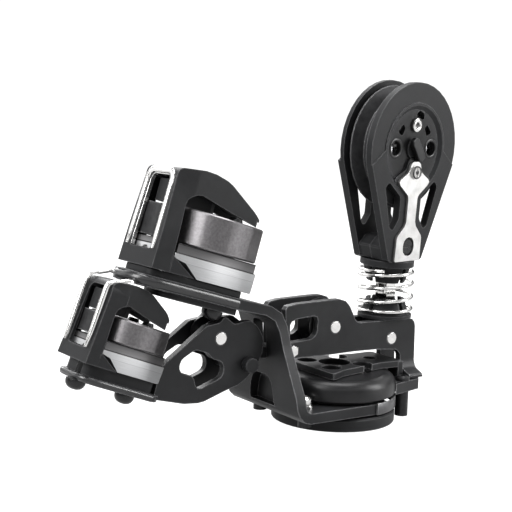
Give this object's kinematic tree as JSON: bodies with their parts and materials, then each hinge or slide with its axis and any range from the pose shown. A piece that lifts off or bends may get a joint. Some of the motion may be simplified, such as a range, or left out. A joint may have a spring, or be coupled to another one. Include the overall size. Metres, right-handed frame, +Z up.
{
  "type": "swivelling mainsheet base with cam cleats and ratchet block",
  "caption": "Deck swivel with a bent arm that carries stepped cam cleats with fairleads, rope guide sheaves, and a ratchet block standing on a coil spring.",
  "frame": {"origin": "on the swivel axis at deck level, in the middle of the base disc's underside", "axes": "+Z up along the swivel axis, +X along the channel from the cleats towards the ratchet block, +Y across"},
  "size_m": [0.211, 0.0608, 0.1663],
  "materials": {
    "black_moulding": "fine satin, moulded",
    "black_anodised": "satin black anodised",
    "bearing_plastic": "smooth turned",
    "polished_steel": "polished stainless",
    "stainless_plate": "fine brushed",
    "bare_aluminium": "machined and lightly brushed",
    "cam_metal": "dark hard anodised",
    "sheave_metal": "dark anodised, worn in the groove",
    "black_screws": "blackened, domed"
  },
  "bodies": {
    "deck_base": {"base_disc": "black_moulding", "cover_disc": "black_moulding", "swivel_bush": "bearing_plastic", "deck_screw_1": "polished_steel", "deck_screw_2": "polished_steel", "deck_screw_3": "polished_steel", "deck_screw_4": "polished_steel"},
    "rotor": {"upper_arm": "black_anodised", "platform_backing_plate": "black_anodised", "bridge_plate": "black_anodised", "channel_plate_near": "black_anodised", "channel_plate_far": "black_anodised", "lower_arm": "black_anodised", "channel_tongue": "black_anodised", "channel_cross_bolt": "polished_steel", "adjuster_bolt": "black_moulding", "guide_sheave_pin": "polished_steel", "stand_pin": "polished_steel", "lower_guide_pin": "polished_steel", "arm_bolt_1": "polished_steel", "arm_bolt_2": "polished_steel", "arm_bolt_3": "polished_steel", "arm_bolt_4": "polished_steel", "upper_cleat_pad": "black_moulding", "upper_cleat_base": "bare_aluminium", "upper_fairlead_screw": "black_screws", "upper_cleat_bolt_near": "black_screws", "upper_cleat_bolt_far": "black_screws", "upper_fairlead": "black_moulding", "lower_cleat_pad": "black_moulding", "lower_cleat_base": "bare_aluminium", "lower_fairlead_screw": "black_screws", "lower_cleat_bolt_near": "black_screws", "lower_cleat_bolt_far": "black_screws", "lower_fairlead": "black_moulding", "stand_block": "black_moulding", "spring_cup_lower": "black_moulding", "eye_post": "polished_steel", "stand_spring": "polished_steel"},
    "guide_sheave_body": {"guide_sheave": "bearing_plastic"},
    "lower_guide_sheave_body": {"lower_guide_sheave": "bearing_plastic"},
    "upper_cam_near_body": {"upper_cam_near": "cam_metal"},
    "upper_cam_far_body": {"upper_cam_far": "cam_metal"},
    "lower_cam_near_body": {"lower_cam_near": "cam_metal"},
    "lower_cam_far_body": {"lower_cam_far": "cam_metal"},
    "shackle_body": {"shackle": "polished_steel"},
    "block_body": {"cheek_near": "black_moulding", "cheek_far": "black_moulding", "strap_near": "stainless_plate", "strap_far": "stainless_plate", "strap_screw": "polished_steel", "cheek_screw": "polished_steel", "foot_bolt": "black_screws", "block_eye": "polished_steel", "spring_cup_upper": "black_moulding", "sheave_core": "bare_aluminium"},
    "sheave_body": {"ratchet_sheave": "sheave_metal"},
    "bearing_body": {"sheave_bearing": "bearing_plastic"},
    "switch_body": {"ratchet_switch": "black_moulding"},
    "pawl_body": {"ratchet_pawl": "stainless_plate"}
  },
  "joints": [
    {"name": "swivel", "type": "hinge", "parent": "deck_base", "child": "rotor", "pos_m": [0, 0, 0.01], "axis": [0, 0, 1], "continuous": true},
    {"name": "guide_sheave_spin", "type": "hinge", "parent": "rotor", "child": "guide_sheave_body", "pos_m": [-0.0076, 0, 0.0468], "axis": [0, 1, 0], "continuous": true},
    {"name": "lower_guide_sheave_spin", "type": "hinge", "parent": "rotor", "child": "lower_guide_sheave_body", "pos_m": [-0.0729, 0, 0.0466], "axis": [0, 1, 0], "continuous": true},
    {"name": "upper_cam_near_open", "type": "hinge", "parent": "rotor", "child": "upper_cam_near_body", "pos_m": [-0.06871, -0.0082, 0.09026], "axis": [0.2723, 0, 0.9622], "range_deg": [0, 28]},
    {"name": "upper_cam_far_open", "type": "hinge", "parent": "rotor", "child": "upper_cam_far_body", "pos_m": [-0.06871, 0.0082, 0.09026], "axis": [0.2723, 0, 0.9622], "range_deg": [-28, 0]},
    {"name": "lower_cam_near_open", "type": "hinge", "parent": "rotor", "child": "lower_cam_near_body", "pos_m": [-0.1112, -0.0066, 0.04906], "axis": [0.342, 0, 0.9397], "range_deg": [0, 28]},
    {"name": "lower_cam_far_open", "type": "hinge", "parent": "rotor", "child": "lower_cam_far_body", "pos_m": [-0.1112, 0.0066, 0.04906], "axis": [0.342, 0, 0.9397], "range_deg": [-28, 0]},
    {"name": "block_lean", "type": "hinge", "parent": "rotor", "child": "shackle_body", "pos_m": [0.0308, 0, 0.0605], "axis": [-0.1736, 0.9848, 0], "range_deg": [-35, 35], "deforming": ["stand_spring"]},
    {"name": "block_sway", "type": "hinge", "parent": "shackle_body", "child": "block_body", "pos_m": [0.0308, 0, 0.072], "axis": [0.9848, 0.1736, 0], "range_deg": [-24, 24]},
    {"name": "sheave_spin", "type": "hinge", "parent": "block_body", "child": "sheave_body", "pos_m": [0.03145, -0.0037, 0.13339], "axis": [-0.1733, 0.983, 0.061], "continuous": true},
    {"name": "bearing_spin", "type": "hinge", "parent": "block_body", "child": "bearing_body", "pos_m": [0.03145, -0.0037, 0.13339], "axis": [-0.1733, 0.983, 0.061], "continuous": true},
    {"name": "ratchet_switch_turn", "type": "hinge", "parent": "block_body", "child": "switch_body", "pos_m": [0.03145, -0.0037, 0.13339], "axis": [-0.1733, 0.983, 0.061], "range_deg": [0, 90]},
    {"name": "pawl_release", "type": "hinge", "parent": "block_body", "child": "pawl_body", "pos_m": [0.02347, -0.01027, 0.13468], "axis": [-0.1733, 0.983, 0.061], "range_deg": [0, 9]}
  ],
  "couplings": [
    {"joint": "bearing_spin", "follows": "sheave_spin", "ratio": 0.5},
    {"joint": "pawl_release", "follows": "ratchet_switch_turn", "ratio": 0.1}
  ]
}
